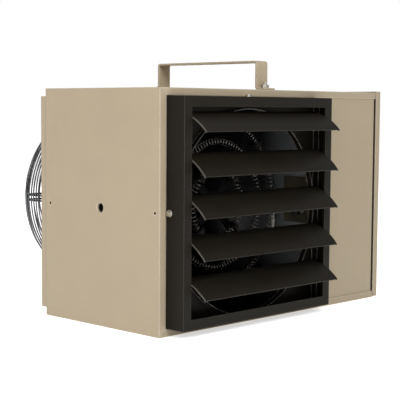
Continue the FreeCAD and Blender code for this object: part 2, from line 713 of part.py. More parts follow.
def fan_hub():
    """Hub and disc, in one piece, that the blades are welded across."""
    hub = rod(on_axis(FAN_Y - HUB_FRONT), Y_AXIS, HUB_R, HUB_FRONT)
    disc = rod(on_axis(FAN_Y - FAN_SHEET / 2), Y_AXIS, FAN_DISC_R, FAN_SHEET)
    bore = rod(on_axis(FAN_Y - HUB_FRONT), Y_AXIS, SHAFT_R, 2 * HUB_FRONT)
    screw = rod(V(AXIS_X, FAN_Y - HUB_FRONT / 2, AXIS_Z), Z_AXIS, SET_SCREW_R, HUB_R)
    return join([hub, disc]).cut([bore, screw])


def fan_set_screw():
    return rod(V(AXIS_X, FAN_Y - HUB_FRONT / 2, AXIS_Z + SHAFT_R), Z_AXIS, SET_SCREW_R, HUB_R - SHAFT_R)


def fan_blade():
    """One cambered, pitched blade with clipped corners, from its root on the disc to its tip."""
    half = FAN_CHORD / 2
    rise = FAN_CAMBER_R - math.sqrt(FAN_CAMBER_R ** 2 - half ** 2)
    tip = math.sqrt(FAN_R ** 2 - (half / 2) ** 2)
    waist = FAN_ROOT_R + (tip - FAN_ROOT_R) / 3
    shoulder = tip - half / 3

    def section_point(along, height):
        return V(0, height - rise, along)

    def arc(height):
        ends = section_point(-half, height), section_point(half, height)
        return ends, Part.Arc(ends[0], section_point(0, height + rise), ends[1]).toShape()

    (a0, a1), upper = arc(FAN_SHEET / 2)
    (b0, b1), lower = arc(-FAN_SHEET / 2)
    edges = [upper, Part.LineSegment(a1, b1).toShape(), lower, Part.LineSegment(b0, a0).toShape()]
    sheet = Part.Face(Part.Wire(Part.__sortEdges__(edges))).extrude(X_AXIS * (2 * FAN_R))
    depth = 2 * rise
    paddle = prism([V(FAN_ROOT_R, -depth, -half / 2), V(waist, -depth, -half + FAN_SHEET),
                    V(shoulder, -depth, -half + FAN_SHEET), V(tip, -depth, -half / 2),
                    V(tip, -depth, half / 2), V(shoulder, -depth, half - FAN_SHEET),
                    V(waist, -depth, half - FAN_SHEET), V(FAN_ROOT_R, -depth, half / 3)], V(0, 2 * depth, 0))
    blade = sheet.common(paddle)
    blade.rotate(V(0, 0, 0), X_AXIS, FAN_PITCH)
    blade.translate(on_axis(FAN_Y))
    return blade


def fan_blades():
    blade = fan_blade()
    return [about_axis(blade, 360 * k / FAN_BLADES) for k in range(FAN_BLADES)]


# Heating element
def element_spider():
    bend_r = COLLAR_R + ARM_REACH
    foot_y = PANEL_BACK + ARM_T / 2
    line = [on_axis(ARM_Y), V(AXIS_X + bend_r, ARM_Y, AXIS_Z), V(AXIS_X + bend_r, foot_y, AXIS_Z),
            V(AXIS_X + bend_r + ARM_FOOT, foot_y, AXIS_Z)]
    arm = bent_strip(line, Z_AXIS, ARM_T, ARM_BEND, ARM_W)
    hub = rod(on_axis(ARM_FACE), Y_AXIS, SPIDER_HUB_R, ARM_T)
    holes = [screw_hole(place, V(0, -1, 0), 2 * ARM_T) for place in spider_foot_places()]
    return join([hub] + [about_axis(arm, angle) for angle in ARM_ANGLES]).cut(holes)


def coil_insulators():
    """A ceramic saddle on every arm for every ring of coil."""
    saddles = []
    for _, ring_r in COIL_RINGS:
        centre = V(AXIS_X + ring_r, COIL_Y, AXIS_Z - BLOCK_L / 2)
        stem = box(centre.x - BLOCK_R, centre.x + BLOCK_R, COIL_Y, ARM_FACE, centre.z, centre.z + BLOCK_L)
        saddle = join([rod(centre, Z_AXIS, BLOCK_R, BLOCK_L), stem])
        saddle = saddle.cut(rod(centre, Z_AXIS, COIL_OUT_R + COIL_CLEAR, BLOCK_L))
        saddles += [about_axis(saddle, angle) for angle in ARM_ANGLES]
    return saddles


def terminal_bar():
    x_in = AXIS_X + COIL_RINGS[0][1] - TERMINAL_W
    x_out = PARTITION_X - ARM_T / 2
    line = [V(x_in, ARM_Y, AXIS_Z), V(x_out, ARM_Y, AXIS_Z), V(x_out, ARM_Y + TERMINAL_FOOT, AXIS_Z)]
    return bent_strip(line, Z_AXIS, ARM_T, ARM_BEND, TERMINAL_BAR_H)


def terminal_blocks():
    """Ceramic posts on the bar, where both ends of each coil are held."""
    post = box(-TERMINAL_W / 2, TERMINAL_W / 2, COIL_Y - BLOCK_R, ARM_FACE, -TERMINAL_H / 2, TERMINAL_H / 2)
    return [post.translated(V(AXIS_X + ring_r, 0, AXIS_Z)) for _, ring_r in COIL_RINGS]


def biarc(p0, t0, p1, t1):
    """Two tangent arcs from a point and direction to another point and direction."""
    gap = p1 - p0
    both = t0 + t1
    a = both.dot(both) - 4
    b = -2 * gap.dot(both)
    c = gap.dot(gap)
    if abs(a) < 1e-9:
        reach = -c / b
    else:
        root = math.sqrt(b * b - 4 * a * c)
        reach = min(r for r in ((-b + root) / (2 * a), (-b - root) / (2 * a)) if r > 0)
    corner0 = p0 + t0 * reach
    corner1 = p1 - t1 * reach
    joint = (corner0 + corner1) * 0.5
    return [round_corner(p0, corner0, joint), round_corner(joint, corner1, p1)]


def round_corner(start, corner, end):
    """The arc that touches both equal legs of a corner at their ends."""
    middle = (start + end) * 0.5
    half_chord = (end - start).Length / 2
    lean = (corner - start).getAngle(end - start)
    peak = middle + unit(corner - middle) * (half_chord * math.tan(lean / 2))
    return Part.Arc(start, peak, end).toShape()


def coil_run(ring_r):
    """The middle line of one ring of wound wire, from the top of its terminal round to the underside."""
    end_z = TERMINAL_H / 2
    first = (end_z + TAIL + TAIL_LEAD) / ring_r
    sweep = 2 * math.pi - 2 * first
    curls = round(ring_r * sweep / CURL_PITCH)

    def place(turn):
        around = first + sweep * turn / curls
        wind = 2 * math.pi * turn - math.pi / 2
        radius = ring_r + COIL_R * math.cos(wind)
        point = V(AXIS_X + radius * math.cos(around), COIL_Y + COIL_R * math.sin(wind),
                  AXIS_Z + radius * math.sin(around))
        rate = sweep / curls
        d_radius = -COIL_R * math.sin(wind) * 2 * math.pi
        heading = V(d_radius * math.cos(around) - radius * math.sin(around) * rate,
                    COIL_R * math.cos(wind) * 2 * math.pi,
                    d_radius * math.sin(around) + radius * math.cos(around) * rate)
        return point, unit(heading)

    stations = [place(k / 4) for k in range(4 * curls + 1)]
    start = V(AXIS_X + ring_r, COIL_Y, AXIS_Z + end_z)
    finish = V(AXIS_X + ring_r, COIL_Y, AXIS_Z - end_z)
    stations.insert(0, (start + Z_AXIS * TAIL, Z_AXIS))
    stations.append((finish - Z_AXIS * TAIL, Z_AXIS))
    edges = [Part.LineSegment(start, stations[0][0]).toShape()]
    for (p0, t0), (p1, t1) in zip(stations, stations[1:]):
        edges += biarc(p0, t0, p1, t1)
    edges.append(Part.LineSegment(stations[-1][0], finish).toShape())
    return edges, curls


def least_gap(edges, curls):
    """The nearest that a wound wire comes to itself, surface to surface, on points along its run."""
    points = []
    for edge in edges:
        points += edge.discretize(4)[:-1]
    apart = len(points) // (2 * curls)
    return min((points[i] - points[j]).Length for i in range(len(points))
               for j in range(i + apart, len(points))) - 2 * COIL_WIRE_R


def heating_coil(name, ring_r):
    edges, curls = coil_run(ring_r)
    print("coil", name, "curls", curls, "least gap to itself", round(least_gap(edges, curls), 2))
    return tube_along(edges, COIL_WIRE_R)


# Partition and what it carries
def partition():
    main = box(PARTITION_X, PARTITION_RIGHT, PANEL_BACK, BACK - SHEET, SHEET, TOP - SHEET)
    tail = box(PARTITION_X, PARTITION_RIGHT, BACK - SHEET, REAR_FACE - SHEET, REAR_RAIL + SHEET,
               TOP - REAR_RAIL - SHEET)
    flange_end = PARTITION_RIGHT + PARTITION_FLANGE
    low = box(PARTITION_X, flange_end, PANEL_BACK, BACK - SHEET, SHEET, 2 * SHEET)
    high = box(PARTITION_X, flange_end, PANEL_BACK, BACK - SHEET, TOP - 2 * SHEET, TOP - SHEET)
    return join([main, tail, low, high])


def cutout_place():
    y = PANEL_BACK + LIMIT_PLATE_INSET + LIMIT_PLATE_D / 2
    return V(PARTITION_X - SHEET, y, AXIS_Z - LIMIT_PLATE_H / 4)


def limit_plate():
    y0 = PANEL_BACK + LIMIT_PLATE_INSET
    plate = box(PARTITION_X - SHEET, PARTITION_X, y0, y0 + LIMIT_PLATE_D, AXIS_Z - LIMIT_PLATE_H / 2,
                AXIS_Z + LIMIT_PLATE_H / 2)
    return plate.cut([rod(seat, X_AXIS, SCREW_R, SHEET) for seat in limit_screw_seats()])


def limit_screw_seats():
    spot = cutout_place()
    return [spot + Y_AXIS * CUTOUT_EAR, spot - Y_AXIS * CUTOUT_EAR]


def thermal_cutout():
    spot = cutout_place()
    out = V(-1, 0, 0)
    ear_t = SHEET
    bar = box(spot.x - ear_t, spot.x, spot.y - CUTOUT_EAR - SCREW_HEAD_R, spot.y + CUTOUT_EAR + SCREW_HEAD_R,
              spot.z - SCREW_HEAD_R, spot.z + SCREW_HEAD_R)
    body = rod(spot, out, CUTOUT_R, CUTOUT_H)
    cap = rod(spot + out * CUTOUT_H, out, CUTOUT_R * 0.8, SHEET)
    return join([bar, body, cap]).cut([rod(seat, out, SCREW_R, ear_t) for seat in limit_screw_seats()])


def limit_screws():
    out = V(-1, 0, 0)
    screws = []
    for seat in limit_screw_seats():
        on_ear = seat + out * SHEET
        screws.append(join([rod(seat + X_AXIS * SHEET, out, SCREW_R, 2 * SHEET),
                            rod(on_ear, out, SCREW_HEAD_R * 0.8, SCREW_HEAD_H * 0.7)]))
    return screws


# Mounting bracket, one bent strap that runs from front to back
def mounting_bracket():
    half = BRACKET_SPAN / 2
    low = TOP + STRAP_T / 2
    high = TOP + BRACKET_H - STRAP_T / 2
    ends = half + STRAP_T / 2 + BRACKET_FOOT

    def at(y, z):
        return V(BRACKET_X, BRACKET_Y + y, z)

    line = [at(-ends, low), at(-half, low), at(-half, high), at(half, high), at(half, low), at(ends, low)]
    strap = bent_strip(line, X_AXIS, STRAP_T, STRAP_BEND, STRAP_W)
    bore_r = BRACKET_BOLT_R + SCREW_CLEAR
    holes = [rod(V(p.x, p.y, TOP), Z_AXIS, bore_r, STRAP_T) for p in bracket_bolt_places()]
    hanger = rod(V(BRACKET_X, BRACKET_Y, TOP + BRACKET_H - STRAP_T), Z_AXIS, HANGER_HOLE_R, STRAP_T)
    return strap.cut(holes + [hanger])


def bracket_bolts():
    bolts = []
    for place in bracket_bolt_places():
        under = V(place.x, place.y, TOP - SHEET)
        shank = rod(under, Z_AXIS, BRACKET_BOLT_R, SHEET + STRAP_T + NUT_H + BOLT_TAIL)
        bolts.append(join([shank, hexagon(under, V(0, 0, -1), BOLT_HEAD_ACROSS, BOLT_HEAD_H)]))
    return bolts


def bracket_nuts():
    nuts = []
    for place in bracket_bolt_places():
        seat = V(place.x, place.y, TOP + STRAP_T)
        nut = hexagon(seat, Z_AXIS, BOLT_HEAD_ACROSS, NUT_H)
        nuts.append(nut.cut(rod(seat, Z_AXIS, BRACKET_BOLT_R, NUT_H)))
    return nuts


# Control door and hinge
def latch_places():
    return [V(DOOR_OUT, FRONT + LATCH_INSET, TOP - LATCH_DROP), V(DOOR_OUT, FRONT + LATCH_INSET, LATCH_DROP)]


def control_door():
    shell = box(DOOR_IN, DOOR_OUT, FRONT, BACK, DOOR_FOOT_CLEAR, DOOR_TOP)
    hollow = box(DOOR_IN, DOOR_OUT - SHEET, FRONT + SHEET, BACK - SHEET,
                 DOOR_FOOT_CLEAR + SHEET, DOOR_TOP - SHEET)
    return shell.cut([hollow] + [screw_hole(place, V(-1, 0, 0), 2 * SHEET) for place in latch_places()])


def latch_screws():
    return [hex_screw(place, V(-1, 0, 0), DOOR_DEPTH) for place in latch_places()]


def hinge_leaf(own, outward_plate):
    """A leaf with its share of the knuckles; the plate gives way where the other leaf's knuckles turn."""
    bottom = AXIS_Z - HINGE_L / 2
    step = HINGE_L / HINGE_KNUCKLES
    solids = []
    for k in range(HINGE_KNUCKLES):
        z0 = bottom + k * step + HINGE_PLAY / 2
        z1 = bottom + (k + 1) * step - HINGE_PLAY / 2
        mine = k % 2 == own
        solids.append(outward_plate(0 if mine else HINGE_KNUCKLE_R + HINGE_PLAY, z0, z1))
        if mine:
            solids.append(rod(V(HINGE_X, HINGE_Y, z0), Z_AXIS, HINGE_KNUCKLE_R, z1 - z0))
    spine_from = HINGE_KNUCKLE_R + HINGE_PLAY
    solids.append(outward_plate(spine_from, bottom + HINGE_PLAY / 2, bottom + HINGE_L - HINGE_PLAY / 2))
    bore = rod(V(HINGE_X, HINGE_Y, bottom), Z_AXIS, HINGE_PIN_R + HINGE_CLEAR, HINGE_L)
    return join(solids).cut(bore)


def fixed_leaf():
    def plate(start, z0, z1):
        return box(RIGHT, RIGHT + HINGE_LEAF, HINGE_Y + start, HINGE_Y + HINGE_LEAF_W, z0, z1)
    return hinge_leaf(0, plate)


def moving_leaf():
    def plate(start, z0, z1):
        return box(HINGE_X + start, HINGE_X + HINGE_LEAF_W, BACK, BACK + HINGE_LEAF, z0, z1)
    return hinge_leaf(1, plate)


def hinge_pin():
    bottom = AXIS_Z - HINGE_L / 2
    pin = rod(V(HINGE_X, HINGE_Y, bottom), Z_AXIS, HINGE_PIN_R, HINGE_L)
    head = rod(V(HINGE_X, HINGE_Y, bottom + HINGE_L), Z_AXIS, HINGE_KNUCKLE_R, HINGE_LEAF)
    return join([pin, head])


# Control components on the partition's right face, stacked from the top
def component(size, z_middle, y_middle):
    """A moulded block on a foot plate against the partition."""
    out, along, up = size
    foot = box(PARTITION_RIGHT, PARTITION_RIGHT + COMPONENT_FOOT, y_middle - along / 2 - COMPONENT_FOOT * 2,
               y_middle + along / 2 + COMPONENT_FOOT * 2, z_middle - up / 2, z_middle + up / 2)
    body = box(PARTITION_RIGHT, PARTITION_RIGHT + out, y_middle - along / 2, y_middle + along / 2,
               z_middle - up / 2, z_middle + up / 2)
    return join([foot, body])


def with_terminals(body, size, z_middle, y_middle, count):
    """A row of screw heads along the top and bottom of a component's face."""
    out, along, up = size
    heads = []
    for k in range(count):
        y = y_middle + along * ((k + 0.5) / count - 0.5)
        for z in (z_middle - up / 2 + SCREW_HEAD_R * 2, z_middle + up / 2 - SCREW_HEAD_R * 2):
            heads.append(rod(V(PARTITION_RIGHT + out, y, z), X_AXIS, SCREW_HEAD_R * 0.8, SCREW_HEAD_H / 2))
    return join([body] + heads)


def control_components():
    contactor_z = TOP - SHEET - PARTITION_FLANGE - CONTACTOR[2] / 2 - COMPONENT_GAP
    transformer_z = contactor_z - CONTACTOR[2] / 2 - COMPONENT_GAP - TRANSFORMER[2] / 2
    terminals_z = transformer_z - TRANSFORMER[2] / 2 - COMPONENT_GAP - TERMINALS[2] / 2
    lug_z = terminals_z - TERMINALS[2] / 2 - COMPONENT_GAP - GROUND_LUG[2] / 2
    transformer_y = -TRANSFORMER[1] / 2 - COMPONENT_GAP / 2
    relay_y = RELAY[1] / 2 + COMPONENT_GAP / 2
    contactor = with_terminals(component(CONTACTOR, contactor_z, 0), CONTACTOR, contactor_z, 0, 3)
    coil = component(TRANSFORMER, transformer_z, transformer_y)
    relay = component(RELAY, transformer_z, relay_y)
    terminals = with_terminals(component(TERMINALS, terminals_z, 0), TERMINALS, terminals_z, 0, 4)
    lug = component(GROUND_LUG, lug_z, 0)
    wire_way = rod(V(PARTITION_RIGHT + GROUND_LUG[0] * 0.65, 0, lug_z - GROUND_LUG[2] / 2), Z_AXIS, SCREW_R,
                   GROUND_LUG[2])
    return contactor, coil, relay, terminals, lug.cut(wire_way)


save("left_side_panel", left_side_panel())
save("top_panel", top_panel())
save("bottom_panel", level_panel(0, 1))
save("front_panel", front_panel())
save("outlet_pan", outlet_pan())
save("rear_panel", rear_panel())
save("rear_panel_screws", *[hex_screw(seat, inward, 6 * SHEET) for seat, inward in rear_screw_seats()])
save("partition", partition())

save("louver_frame", louver_frame())
save("louver_frame_screws", *[hex_screw(seat, inward, FRAME_SHEET + PAN_GAP + 2 * SHEET)
                              for seat, inward in frame_screw_seats()])
save("louver_pivot_pins", *[pivot_pin(z, side) for z in pivot_heights() for side in (-1, 1)])
for number, (height, slope) in enumerate(zip(pivot_heights(), BLADE_SLOPES), 1):
    save("louver_blade_%d" % number, louver_blade(height, slope))

save("mounting_bracket", mounting_bracket())
save("bracket_bolts", *bracket_bolts())
save("bracket_nuts", *bracket_nuts())

save("fan_guard_side_rings", *guard_side_rings())
save("fan_guard_back_rings", *guard_back_rings())
save("fan_guard_legs", *[guard_leg(angle) for angle in rib_angles()])
save("guard_screws", *[hex_screw(place + Y_AXIS * (2 * RIB_R), V(0, -1, 0), 2 * RIB_R + 4 * SHEET)
                       for place in guard_foot_places()])
save("motor_plate", motor_plate())
save("motor_shell", motor_shell())
save("motor_front_bell", end_bell(SHELL_FRONT, -1))
save("motor_rear_bell", end_bell(SHELL_REAR, 1))
save("motor_bearings", bearing(BELL_FRONT, -1), bearing(MOTOR_REAR, 1))
save("motor_stator", motor_stator())
save("motor_studs", *motor_studs())
save("motor_nuts", *motor_nuts())
save("motor_shaft", motor_shaft())
save("motor_rotor", motor_rotor())
save("fan_blades", *fan_blades())
save("fan_hub", fan_hub())
save("fan_set_screw", fan_set_screw())

save("element_spider", element_spider())
save("spider_screws", *[hex_screw(place, V(0, -1, 0), ARM_T + SHEET) for place in spider_foot_places()])
save("coil_insulators", *coil_insulators())
save("terminal_bar", terminal_bar())
save("terminal_blocks", *terminal_blocks())
for ring_name, ring_radius in COIL_RINGS:
    save("heating_coil_" + ring_name, heating_coil(ring_name, ring_radius))

save("limit_plate", limit_plate())
save("thermal_cutout", thermal_cutout())
save("limit_screws", *limit_screws())

for component_name, solid in zip(("contactor", "transformer", "fan_relay", "terminal_strip", "ground_lug"),
                                 control_components()):
    save(component_name, solid)

save("control_door", control_door())
save("door_latch_screws", *latch_screws())
save("hinge_leaf_fixed", fixed_leaf())
save("hinge_leaf_moving", moving_leaf())
save("hinge_pin", hinge_pin())
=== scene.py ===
import json
import math

import bmesh
import bpy
from mathutils import Matrix, Vector


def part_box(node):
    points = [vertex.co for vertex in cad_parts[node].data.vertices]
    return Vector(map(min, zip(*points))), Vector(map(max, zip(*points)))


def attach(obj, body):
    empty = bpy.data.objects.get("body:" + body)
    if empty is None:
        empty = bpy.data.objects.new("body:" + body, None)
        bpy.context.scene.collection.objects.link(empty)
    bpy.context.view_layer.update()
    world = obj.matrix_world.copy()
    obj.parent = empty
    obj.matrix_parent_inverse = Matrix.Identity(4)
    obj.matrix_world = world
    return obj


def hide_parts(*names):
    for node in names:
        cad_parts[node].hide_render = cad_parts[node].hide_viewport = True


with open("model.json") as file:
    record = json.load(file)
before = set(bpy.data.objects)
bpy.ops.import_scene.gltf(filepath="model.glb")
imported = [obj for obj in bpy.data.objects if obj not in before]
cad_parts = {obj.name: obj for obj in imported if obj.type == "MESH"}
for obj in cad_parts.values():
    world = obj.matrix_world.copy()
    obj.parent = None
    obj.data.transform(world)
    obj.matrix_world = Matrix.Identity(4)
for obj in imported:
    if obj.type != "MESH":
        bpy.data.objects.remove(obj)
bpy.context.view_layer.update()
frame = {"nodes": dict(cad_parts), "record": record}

NODES = frame["nodes"]
RECORD = frame["record"]

# Places on the part, in metres
CABINET_LOW, CABINET_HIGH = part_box("left_side_panel")
LEFT, FRONT, BACK, TOP = CABINET_LOW.x, CABINET_LOW.y, CABINET_HIGH.y, CABINET_HIGH.z
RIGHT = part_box("top_panel")[1].x
REAR_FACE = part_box("rear_panel")[1].y
PARTITION_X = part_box("partition")[0].x
FRAME_LOW, FRAME_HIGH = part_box("louver_frame")
AXIS_X, AXIS_Z = (FRAME_LOW.x + FRAME_HIGH.x) / 2, (FRAME_LOW.z + FRAME_HIGH.z) / 2
MIDDLE = Vector(((LEFT + RIGHT) / 2, (FRONT + BACK) / 2, TOP / 2))
SHEET = 0.0012
RAIL = 0.012

# What all finishes share: the spans of noise or bend over which a colour changes, and the relief
DRIFT_SPAN = (0.3, 0.7)
SPOT_SPAN = (0.62, 0.78)
EDGE_HIGHLIGHT_SPAN = (0.78, 0.985)
SPOT_SCALE = 45.0
ROUGH_SPREAD = 0.08
LEAST_ROUGH = 0.02
COAT_ROUGH = 0.25
GRAIN_DEPTH = 0.0004
BEVEL_SAMPLES = 4


# Materials: one node graph per finish
def add(tree, kind, **inputs):
    node = tree.nodes.new(kind)
    for key, value in inputs.items():
        name = key.replace("_", " ").title()
        node.inputs[name].default_value = value
    return node


def grey(value):
    return (value, value, value, 1.0)


def rgb(color, gain=1.0):
    return tuple(min(1.0, c * gain) for c in color) + (1.0,)


def srgb(red, green, blue):
    def linear(value):
        value /= 255.0
        return value / 12.92 if value <= 0.04045 else ((value + 0.055) / 1.055) ** 2.4
    return (linear(red), linear(green), linear(blue))


def noise(tree, place, scale, detail, roughness):
    node = add(tree, "ShaderNodeTexNoise", scale=scale, detail=detail, roughness=roughness)
    tree.links.new(place, node.inputs["Vector"])
    return node.outputs["Fac"]


def ramp(tree, value, span, low_color, high_color):
    """A colour that goes from one to the other as the value crosses the span."""
    node = tree.nodes.new("ShaderNodeValToRGB")
    for element, position, color in zip(node.color_ramp.elements, span, (low_color, high_color)):
        element.position = position
        element.color = color
    tree.links.new(value, node.inputs["Fac"])
    return node.outputs["Color"]


def blend_colours(tree, mask, below, above):
    """The colour below, covered by a plain colour where the mask is white."""
    mix = tree.nodes.new("ShaderNodeMix")
    mix.data_type = "RGBA"
    tree.links.new(mask, mix.inputs["Factor"])
    tree.links.new(below, mix.inputs["A"])
    mix.inputs["B"].default_value = rgb(above)
    return mix.outputs["Result"]


def edge_highlight_mask(tree, rounded, amount):
    """A painted highlight: white along the sheet's edges and bends, where the rounded normal leaves the flat
    one.
    """
    flat = tree.nodes.new("ShaderNodeNewGeometry")
    dot = tree.nodes.new("ShaderNodeVectorMath")
    dot.operation = "DOT_PRODUCT"
    tree.links.new(rounded, dot.inputs[0])
    tree.links.new(flat.outputs["Normal"], dot.inputs[1])
    return ramp(tree, dot.outputs["Value"], EDGE_HIGHLIGHT_SPAN, grey(amount), grey(0.0))


def fade_mask(tree, place, axis, full, none):
    """White up to one place along an axis of the part, fading to black at another."""
    split = tree.nodes.new("ShaderNodeSeparateXYZ")
    tree.links.new(place, split.inputs["Vector"])
    fade = add(tree, "ShaderNodeMapRange", from_min=full, from_max=none, to_min=1.0, to_max=0.0)
    tree.links.new(split.outputs[axis], fade.inputs["Value"])
    return fade.outputs["Result"]


def finish(name, color, rough, metallic=0.0, specular=0.5, mottle=0.06, mottle_scale=18.0, grain=0.05,
           grain_scale=900.0, stretch=(1, 1, 1), dirt=None, dirt_amount=0.0, coat=0.0, edge_highlight=None,
           edge_highlight_amount=0.6, edge_radius=0.0009, fade=None):
    """A surface whose colour drifts slowly, whose gloss varies, and whose skin has a fine relief.

    An edge colour is a painted highlight along the edges and bends. A fade is painted light and shade: an
    axis, the place up to which its colour covers the surface, the place where it ends, and its colour.
    """
    mat = bpy.data.materials.new(name)
    mat.use_nodes = True
    tree = mat.node_tree
    shader = tree.nodes["Principled BSDF"]
    shader.inputs["Metallic"].default_value = metallic
    shader.inputs["Specular IOR Level"].default_value = specular
    if coat:
        shader.inputs["Coat Weight"].default_value = coat
        shader.inputs["Coat Roughness"].default_value = COAT_ROUGH
    place = tree.nodes.new("ShaderNodeTexCoord").outputs["Object"]
    mapping = add(tree, "ShaderNodeMapping", scale=stretch)
    tree.links.new(place, mapping.inputs["Vector"])
    stretched = mapping.outputs["Vector"]
    bevel = add(tree, "ShaderNodeBevel", radius=edge_radius)
    bevel.samples = BEVEL_SAMPLES
    rounded = bevel.outputs["Normal"]

    slow = noise(tree, stretched, mottle_scale, detail=4.0, roughness=0.6)
    colour = ramp(tree, slow, DRIFT_SPAN, rgb(color, 1.0 - mottle), rgb(color, 1.0 + mottle))
    if dirt:
        spots = noise(tree, stretched, SPOT_SCALE, detail=8.0, roughness=0.75)
        spotted = ramp(tree, spots, SPOT_SPAN, grey(0.0), grey(dirt_amount))
        colour = blend_colours(tree, spotted, colour, dirt)
    if fade:
        axis, full, none, faded = fade
        colour = blend_colours(tree, fade_mask(tree, place, axis, full, none), colour, faded)
    # Painted highlight along the edges and bends
    if edge_highlight:
        colour = blend_colours(tree, edge_highlight_mask(tree, rounded, edge_highlight_amount), colour, edge_highlight)
    tree.links.new(colour, shader.inputs["Base Color"])

    smooth, coarse = max(LEAST_ROUGH, rough - ROUGH_SPREAD), min(1.0, rough + ROUGH_SPREAD)
    tree.links.new(ramp(tree, slow, DRIFT_SPAN, grey(smooth), grey(coarse)), shader.inputs["Roughness"])

    bump = add(tree, "ShaderNodeBump", strength=grain, distance=GRAIN_DEPTH)
    tree.links.new(noise(tree, stretched, grain_scale, detail=3.0, roughness=0.5), bump.inputs["Height"])
    tree.links.new(rounded, bump.inputs["Normal"])
    tree.links.new(bump.outputs["Normal"], shader.inputs["Normal"])
    return mat


def beige_enamel(name, color, edge_highlight_amount, edge_radius, **more):
    return finish(name, color, rough=0.45, specular=0.25, mottle=0.025, grain=0.10, grain_scale=620.0,
                  dirt=srgb(150, 136, 112), dirt_amount=0.16,
                  edge_highlight=srgb(222, 212, 193), edge_highlight_amount=edge_highlight_amount, edge_radius=edge_radius, **more)


def brown_enamel(name, color, edge_highlight, edge_highlight_amount, edge_radius):
    return finish(name, color, rough=0.5, specular=0.10, mottle=0.10, grain=0.12, grain_scale=700.0,
                  dirt=srgb(40, 35, 29), dirt_amount=0.25,
                  edge_highlight=edge_highlight, edge_highlight_amount=edge_highlight_amount, edge_radius=edge_radius)


# The shaded and sunny beiges are painted shade and painted light
BEIGE, SHADED_BEIGE, SUNNY_BEIGE = srgb(160, 146, 123), srgb(147, 134, 112), srgb(170, 156, 132)
BROWN, BLADE_BROWN = srgb(27, 24, 19), srgb(26, 23, 18)
# Painted highlights for the brown sheet's edges, the paler one for the outlet pan
EDGE_HIGHLIGHT_BROWN, EDGE_HIGHLIGHT_PALE = srgb(104, 99, 90), srgb(200, 197, 190)
# Painted shade: near black inside the heater chamber
SHADE_BLACK = srgb(11, 11, 11)

# The edge colours below are painted highlights along edges and bends
FINISHES = {
    "cabinet_paint": beige_enamel("beige_enamel", BEIGE, edge_highlight_amount=0.8, edge_radius=0.0020),
    "louver_paint": brown_enamel("dark_brown_enamel", BROWN, EDGE_HIGHLIGHT_BROWN, edge_highlight_amount=0.75,
                                 edge_radius=0.0012),
    # Painted shade: the heater chamber's black
    "chamber_black": finish("painted_shade_black", SHADE_BLACK, rough=0.6, specular=0.06, mottle=0.15, grain=0.15),
    # Painted shade: the fan's near black is a guessed colour that keeps the chamber behind the coils dark
    "fan_paint": finish("fan_black", srgb(20, 20, 22), rough=0.45, specular=0.2, mottle=0.12,
                        edge_highlight=srgb(56, 56, 58)),
    "zinc": finish("zinc_plate", srgb(196, 192, 182), rough=0.30, metallic=1.0, mottle=0.10,
                   mottle_scale=160.0),
    "guard_wire": finish("plated_wire", srgb(104, 105, 107), rough=0.25, metallic=1.0, mottle=0.10,
                         mottle_scale=90.0),
    "galvanised": finish("galvanised_sheet", srgb(150, 152, 155), rough=0.38, metallic=1.0, mottle=0.22,
                         mottle_scale=60.0),
    "motor_paint": finish("motor_enamel", srgb(34, 34, 36), rough=0.35, specular=0.3, mottle=0.12,
                          grain=0.2, edge_highlight=srgb(88, 88, 90)),
    "bearing_bronze": finish("sintered_bronze", srgb(176, 132, 76), rough=0.45, metallic=1.0, mottle=0.12,
                             grain=0.3),
    "lamination": finish("varnished_laminations", srgb(70, 66, 64), rough=0.5, metallic=0.7, mottle=0.2,
                         stretch=(1, 14, 1)),
    "shaft_steel": finish("ground_steel", srgb(180, 180, 180), rough=0.25, metallic=1.0, mottle=0.08,
                          stretch=(1, 20, 1)),
    "coil_wire": finish("oxidised_wire", srgb(132, 127, 122), rough=0.28, metallic=1.0, mottle=0.40,
                        mottle_scale=30.0, dirt=srgb(150, 84, 58), dirt_amount=0.3),
    "ceramic": finish("glazed_ceramic", srgb(232, 228, 216), rough=0.28, mottle=0.05, coat=0.3),
    "dark_ceramic": finish("unglazed_ceramic", srgb(26, 23, 21), rough=0.6, specular=0.15, mottle=0.2,
                           grain=0.3),
    "limit_brown": finish("heat_tinted_steel", srgb(80, 73, 57), rough=0.45, metallic=0.4, mottle=0.3,
                          mottle_scale=40.0, edge_highlight=srgb(128, 116, 98)),
    "moulded_black": finish("moulded_black", srgb(30, 30, 31), rough=0.48, specular=0.3, mottle=0.1,
                            grain=0.3, edge_highlight=srgb(80, 80, 82)),
    "relay_case": finish("relay_case", srgb(214, 212, 200), rough=0.25, mottle=0.04, coat=0.2),
    "lug_metal": finish("tinned_lug", srgb(190, 190, 192), rough=0.35, metallic=1.0, mottle=0.1),
}
for entry in RECORD["subparts"]:
    node = NODES[entry["node"]]
    node.data.materials.clear()
    node.data.materials.append(FINISHES[entry["material_slot"]])

# Faces that differ from the rest of their sheet: painted highlights, painted light and painted shade
FACING = 0.9              # a face looks along an axis where its normal has this much of it
BLADES = ["louver_blade_%d" % number for number in range(1, 6)]
RAIL_FADE = 0.05          # the top rail's painted light fades into painted shade over this length, up to the partition
LIT_ZINC_Y = -0.095      # the partition carries painted light, its bare zinc colour, in front of here
SHADED_ZINC_Y = -0.015    # and painted shade, near black, behind here
SHADE_LINE = 0.0001        # the painted shade ends this sharply at the partition


def faces_front(polygon):
    return polygon.normal.y < -FACING


def faces_left(polygon):
    return polygon.normal.x < -FACING


def faces_right(polygon):
    return polygon.normal.x > FACING


def faces_end(polygon):
    return faces_left(polygon) or faces_right(polygon)


def face_finish(node_name, mat, belongs):
    """Gives the faces of a node that belong a finish of their own."""
    mesh = NODES[node_name].data
    mesh.materials.append(mat)
    for polygon in mesh.polygons:
        if belongs(polygon):
            polygon.material_index = len(mesh.materials) - 1


